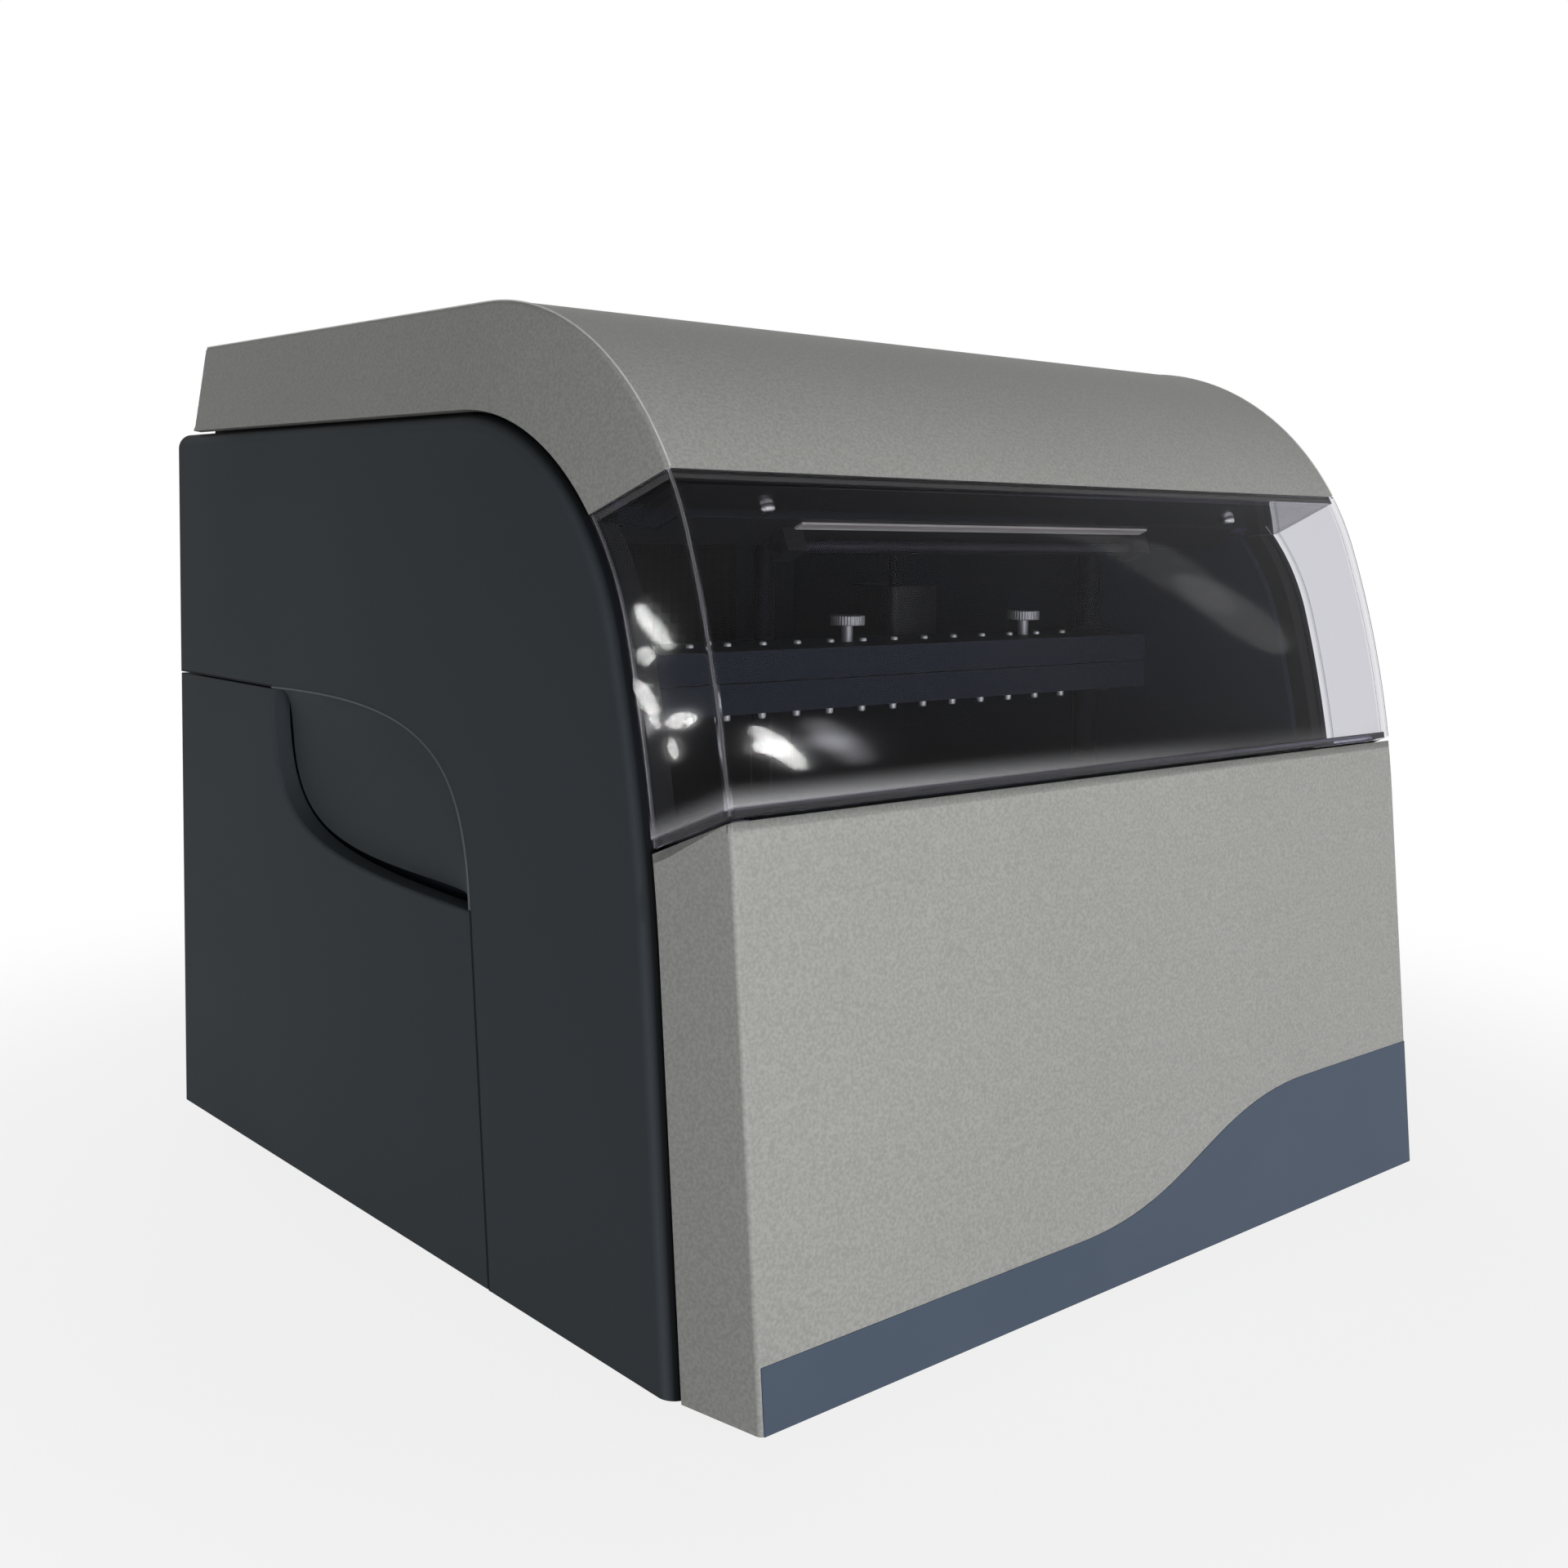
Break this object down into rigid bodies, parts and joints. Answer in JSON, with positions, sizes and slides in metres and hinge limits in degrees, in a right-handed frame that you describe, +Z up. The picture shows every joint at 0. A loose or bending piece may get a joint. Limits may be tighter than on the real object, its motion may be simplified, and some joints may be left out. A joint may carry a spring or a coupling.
{
  "type": "nucleic acid extractor",
  "caption": "Bench-top nucleic acid extractor: boxy cabinet with a curved lift-up door and wide clear window over a sliding tray platform, magnet rods and their drives.",
  "frame": {"origin": "bottom centre of the whole, on the surface that its feet stand on", "axes": "+Z up, +Y towards the back panel, +X to the right as seen from the front; the window faces -Y"},
  "size_m": [0.33, 0.3475, 0.3003],
  "materials": {
    "silver_paint": "fine metallic paint, satin",
    "anthracite_plastic": "fine satin texture",
    "clear_plastic": "clear, polished, faint violet tint",
    "slate_band": "satin print",
    "black_plastic": "fine matt texture",
    "black_sheet": "semi-matt powder coat",
    "black_anodised": "black anodised, bead blasted",
    "grey_sheet": "fine powder coat",
    "plain_aluminium": "brushed, clear anodised",
    "bright_steel": "ground and polished",
    "brass": "turned",
    "rubber": "matt",
    "motor_black": "semi-gloss",
    "lamp_glass": "frosted tube",
    "board_green": "solder mask",
    "port_metal": "nickel plated"
  },
  "bodies": {
    "door": {"door_hood": "silver_paint", "door_window": "clear_plastic", "door_crossbar": "black_plastic", "door_liner": "black_plastic", "door_screws": "bright_steel", "lamp_tube": "lamp_glass", "hinge_leaves_moving": "bright_steel"},
    "cabinet": {"hinge_leaves_fixed": "bright_steel", "hinge_pins": "bright_steel", "side_panel_upper_left": "anthracite_plastic", "side_panel_upper_right": "anthracite_plastic", "side_panel_lower_left": "anthracite_plastic", "side_panel_lower_right": "anthracite_plastic", "inner_wall_left": "black_sheet", "inner_wall_right": "black_sheet", "side_seal_left": "rubber", "side_seal_right": "rubber", "front_panel": "silver_paint", "front_band": "slate_band", "sill_seal": "rubber", "base_plate": "grey_sheet", "rubber_feet": "rubber", "back_panel": "grey_sheet", "back_screws": "bright_steel", "deck_plate": "black_sheet", "cross_beams": "black_sheet", "guide_rods": "bright_steel", "platform_rails": "bright_steel", "platform_motor": "motor_black", "drive_belt": "rubber", "drive_motor": "motor_black", "power_inlet": "black_plastic", "switch_bezel": "black_plastic", "data_ports": "port_metal", "fan_frame": "black_plastic", "power_supply": "plain_aluminium", "circuit_boards": "board_green"},
    "power_switch": {"switch_rocker": "black_plastic"},
    "fan": {"fan_rotor": "black_plastic"},
    "plunger_carriage": {"plunger_bar": "black_anodised", "plunger_collars": "black_plastic", "plunger_bushes": "brass", "drive_nut": "brass", "lift_screw": "bright_steel"},
    "magnet_carriage": {"magnet_bar": "black_anodised", "magnet_rods": "bright_steel", "magnet_bushes": "brass", "lift_motor": "motor_black"},
    "thumb_screw_a": {"thumb_screw_left": "bright_steel"},
    "thumb_screw_b": {"thumb_screw_middle": "bright_steel"},
    "thumb_screw_c": {"thumb_screw_right": "bright_steel"},
    "drive_screw": {"drive_screw": "bright_steel"},
    "platform": {"platform": "plain_aluminium", "heater_block": "plain_aluminium", "platform_carriages": "bright_steel", "belt_clamp": "plain_aluminium"},
    "tray_clip_a": {"tray_clip_left": "bright_steel"},
    "tray_clip_b": {"tray_clip_right": "bright_steel"},
    "pulley_front": {"belt_pulley_front": "plain_aluminium"},
    "pulley_back": {"belt_pulley_back": "plain_aluminium"}
  },
  "joints": [
    {"name": "door_hinge", "type": "hinge", "parent": "cabinet", "child": "door", "pos_m": [0, 0.1616, 0.2695], "axis": [-1, 0, 0], "range_deg": [0, 75]},
    {"name": "platform_slide", "type": "slide", "parent": "cabinet", "child": "platform", "axis": [0, 1, 0], "range_m": [0, 0.1]},
    {"name": "plunger_drop", "type": "slide", "parent": "cabinet", "child": "plunger_carriage", "axis": [0, 0, -1], "range_m": [0, 0.065]},
    {"name": "magnet_lift", "type": "slide", "parent": "plunger_carriage", "child": "magnet_carriage", "axis": [0, 0, 1], "range_m": [0, 0.012]},
    {"name": "drive_screw_turn", "type": "hinge", "parent": "cabinet", "child": "drive_screw", "pos_m": [0, 0.0165, 0.175], "axis": [0, 0, 1], "range_deg": [0, 2940]},
    {"name": "pulley_front_turn", "type": "hinge", "parent": "cabinet", "child": "pulley_front", "pos_m": [0, -0.1275, 0.071], "axis": [0, 0, 1], "range_deg": [0, 800]},
    {"name": "pulley_back_turn", "type": "hinge", "parent": "cabinet", "child": "pulley_back", "pos_m": [0, 0.0885, 0.071], "axis": [0, 0, 1], "range_deg": [0, 800]},
    {"name": "tray_clip_left_swing", "type": "hinge", "parent": "platform", "child": "tray_clip_a", "pos_m": [-0.124, -0.0615, 0.0936], "axis": [0, -1, 0], "range_deg": [0, 45]},
    {"name": "tray_clip_right_swing", "type": "hinge", "parent": "platform", "child": "tray_clip_b", "pos_m": [0.124, -0.0615, 0.0936], "axis": [0, 1, 0], "range_deg": [0, 45]},
    {"name": "power_switch_rock", "type": "hinge", "parent": "cabinet", "child": "power_switch", "pos_m": [-0.07, 0.1675, 0.043], "axis": [1, 0, 0], "range_deg": [-9, 9]},
    {"name": "fan_turn", "type": "hinge", "parent": "cabinet", "child": "fan", "pos_m": [0.07, 0.1625, 0.21], "axis": [0, 1, 0], "continuous": true},
    {"name": "thumb_screw_left_turn", "type": "hinge", "parent": "magnet_carriage", "child": "thumb_screw_a", "pos_m": [-0.096, -0.0308, 0.2], "axis": [0, 0, 1], "continuous": true},
    {"name": "thumb_screw_middle_turn", "type": "hinge", "parent": "magnet_carriage", "child": "thumb_screw_b", "pos_m": [0, -0.0308, 0.2], "axis": [0, 0, 1], "continuous": true},
    {"name": "thumb_screw_right_turn", "type": "hinge", "parent": "magnet_carriage", "child": "thumb_screw_c", "pos_m": [0.096, -0.0308, 0.2], "axis": [0, 0, 1], "continuous": true}
  ],
  "couplings": [
    {"joint": "drive_screw_turn", "follows": "plunger_drop", "rad_per_m": 785.4},
    {"joint": "pulley_front_turn", "follows": "platform_slide", "rad_per_m": 138.89},
    {"joint": "pulley_back_turn", "follows": "platform_slide", "rad_per_m": 138.89}
  ]
}
